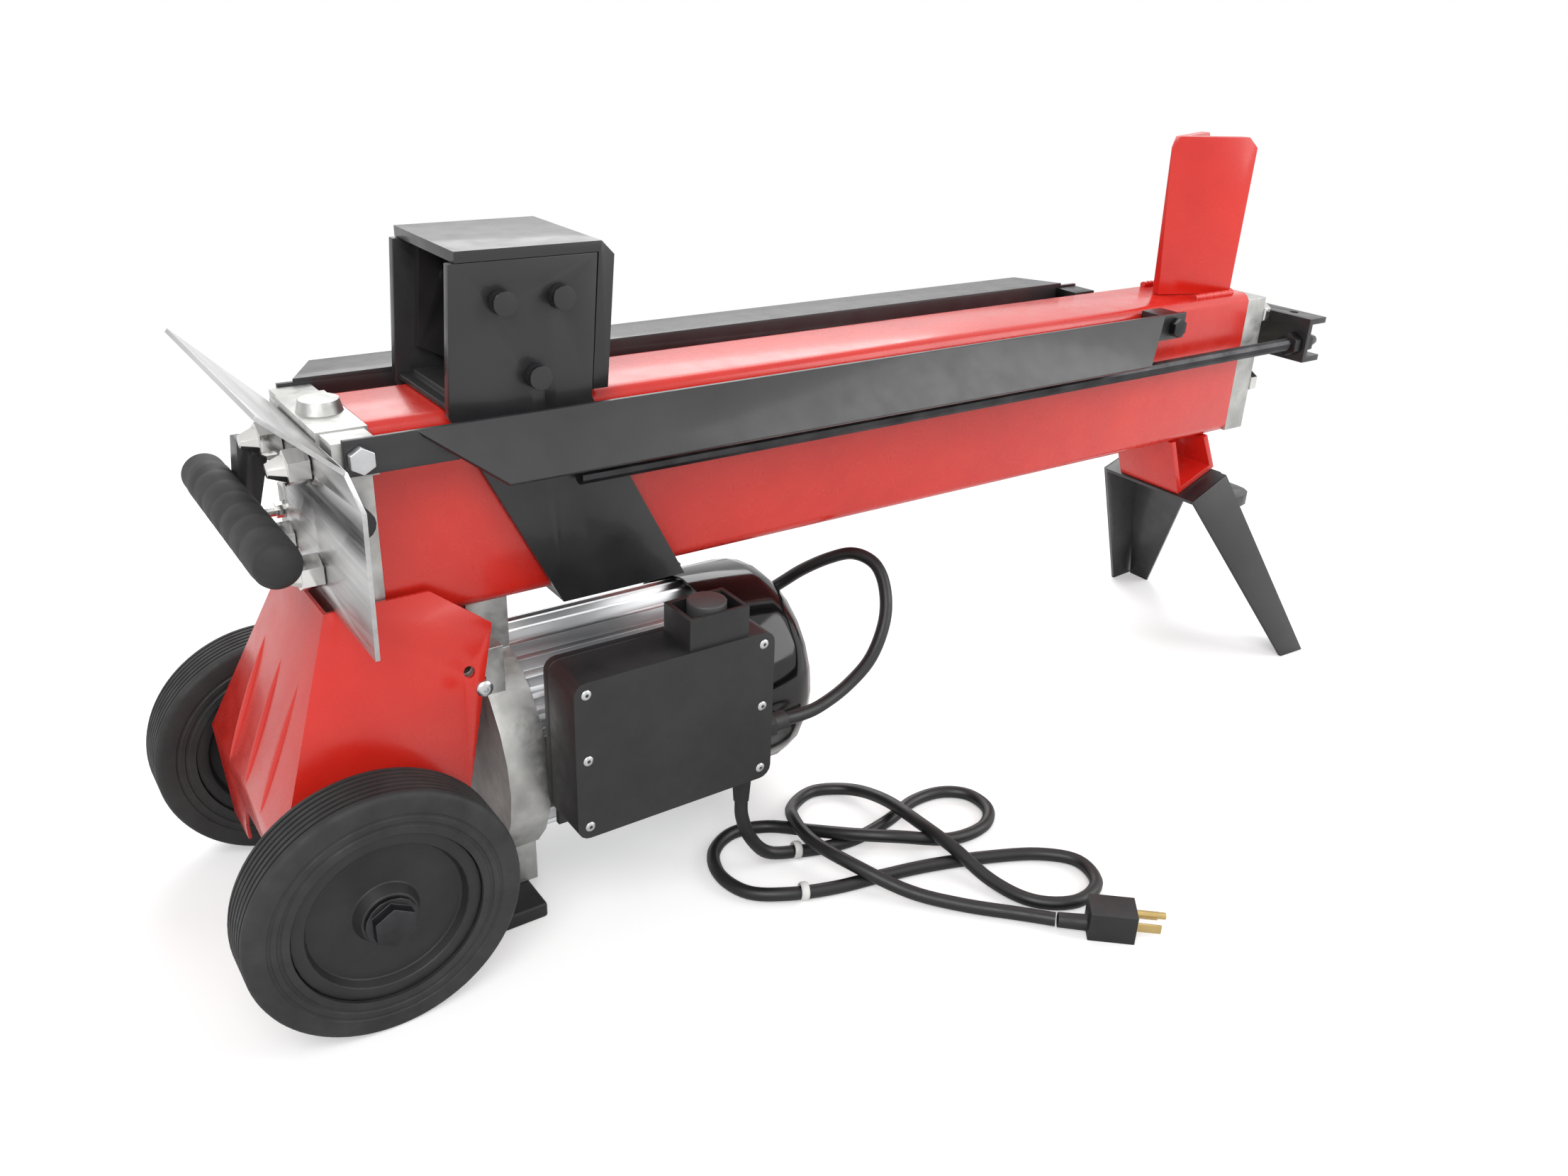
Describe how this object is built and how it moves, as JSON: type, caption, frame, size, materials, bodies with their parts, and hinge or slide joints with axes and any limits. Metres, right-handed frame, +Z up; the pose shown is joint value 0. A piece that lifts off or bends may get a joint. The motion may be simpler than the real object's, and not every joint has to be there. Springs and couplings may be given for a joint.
{
  "type": "log splitter",
  "caption": "Horizontal electric hydraulic log splitter: box beam on wheels and a front leg, sliding ram, fixed wedge, log tables, motor with switch box and cord.",
  "frame": {"origin": "on the floor, below the middle of the machine's length and width, the cord and plug left out", "axes": "+X towards the wedge along the beam, +Y to the side away from the switch box, +Z up"},
  "size_m": [0.956, 0.4416, 0.456],
  "materials": {
    "beam_red": "glossy red powder coat",
    "black_paint": "satin black powder coat",
    "cast_alu": "as-cast, bead blasted",
    "sheet_steel": "brushed sheet",
    "chrome": "bright nickel plate",
    "zinc": "zinc plated",
    "dark_steel": "black oxide",
    "plastic": "moulded black, fine texture",
    "gloss_cover": "gloss black enamel",
    "rubber": "matt black rubber",
    "tyre": "matt black tread",
    "pvc": "black cord jacket",
    "copper": "enamelled windings and laminations",
    "brass": "turned"
  },
  "bodies": {
    "frame": {"beam_tube": "beam_red", "cylinder_barrel": "dark_steel", "rear_cap": "cast_alu", "front_plate": "cast_alu", "rod_gland": "brass", "stud_near_low": "chrome", "stud_near_high": "chrome", "stud_far_low": "chrome", "stud_far_high": "chrome", "guard_plate": "sheet_steel", "log_table_near": "black_paint", "log_table_far": "black_paint", "table_through_bolt": "dark_steel", "table_post_near": "black_paint", "table_post_far": "black_paint", "wedge": "beam_red", "front_bracket": "beam_red", "front_leg": "black_paint", "leg_bolt": "zinc", "carry_handle": "plastic", "axle": "zinc", "rear_skirt": "beam_red", "motor_flange": "cast_alu", "motor_housing": "cast_alu", "motor_stator": "copper", "bearing_front": "zinc", "bearing_rear": "zinc", "motor_end_shield": "cast_alu", "fan_cover": "gloss_cover", "motor_foot": "black_paint", "switch_box_back": "plastic", "switch_box_cover": "plastic", "start_switch": "plastic", "motor_capacitor": "zinc", "motor_lead": "pvc", "strain_relief": "plastic", "mains_cord": "pvc", "plug": "pvc"},
    "ram": {"ram_carriage": "black_paint", "ram_pusher": "black_paint", "guide_shoe": "plastic", "tie_rod_near": "dark_steel", "tie_rod_far": "dark_steel", "crossbar": "black_paint", "piston_rod": "chrome", "piston": "dark_steel", "return_spring": "dark_steel"},
    "lever": {"lever_arm": "black_paint", "lever_grip": "rubber"},
    "spool": {"valve_spool": "chrome"},
    "button": {"start_button": "plastic"},
    "wheel_near": {"tyre_near": "tyre", "wheel_hub_near": "plastic"},
    "wheel_far": {"tyre_far": "tyre", "wheel_hub_far": "plastic"},
    "rotor": {"motor_rotor": "dark_steel", "pump_drive_gear": "dark_steel", "cooling_fan": "plastic"},
    "idler_gear": {"pump_driven_gear": "dark_steel"},
    "bleed": {"bleed_screw": "plastic"}
  },
  "joints": [
    {"name": "ram_slide", "type": "slide", "parent": "frame", "child": "ram", "axis": [1, 0, 0], "range_m": [0, 0.37], "stiffness_N_per_m": 120, "springref_m": -0.2, "deforming": ["return_spring"]},
    {"name": "lever_pivot", "type": "hinge", "parent": "frame", "child": "lever", "pos_m": [-0.4005, 0.047, 0.3], "axis": [0, -1, 0], "range_deg": [0, 12], "stiffness_Nm_per_rad": 6, "springref_deg": -8.59},
    {"name": "spool_slide", "type": "slide", "parent": "frame", "child": "spool", "axis": [1, 0, 0], "range_m": [0, 0.0086]},
    {"name": "button_press", "type": "slide", "parent": "frame", "child": "button", "axis": [0, 0, -1], "range_m": [0, 0.003], "stiffness_N_per_m": 500, "springref_m": -0.003},
    {"name": "wheel_near_spin", "type": "hinge", "parent": "frame", "child": "wheel_near", "pos_m": [-0.3995, -0.1045, 0.078], "axis": [0, 1, 0], "continuous": true},
    {"name": "wheel_far_spin", "type": "hinge", "parent": "frame", "child": "wheel_far", "pos_m": [-0.3995, 0.1045, 0.078], "axis": [0, 1, 0], "continuous": true},
    {"name": "rotor_spin", "type": "hinge", "parent": "frame", "child": "rotor", "pos_m": [-0.2085, 0, 0.1], "axis": [1, 0, 0], "continuous": true},
    {"name": "idler_spin", "type": "hinge", "parent": "frame", "child": "idler_gear", "pos_m": [-0.2955, 0, 0.126], "axis": [1, 0, 0], "continuous": true},
    {"name": "bleed_turn", "type": "hinge", "parent": "frame", "child": "bleed", "pos_m": [-0.3725, -0.045, 0.281], "axis": [0, 1, 0], "range_deg": [0, 360]}
  ],
  "couplings": [
    {"joint": "spool_slide", "follows": "lever_pivot", "m_per_rad": 0.041},
    {"joint": "idler_spin", "follows": "rotor_spin", "ratio": -1}
  ]
}
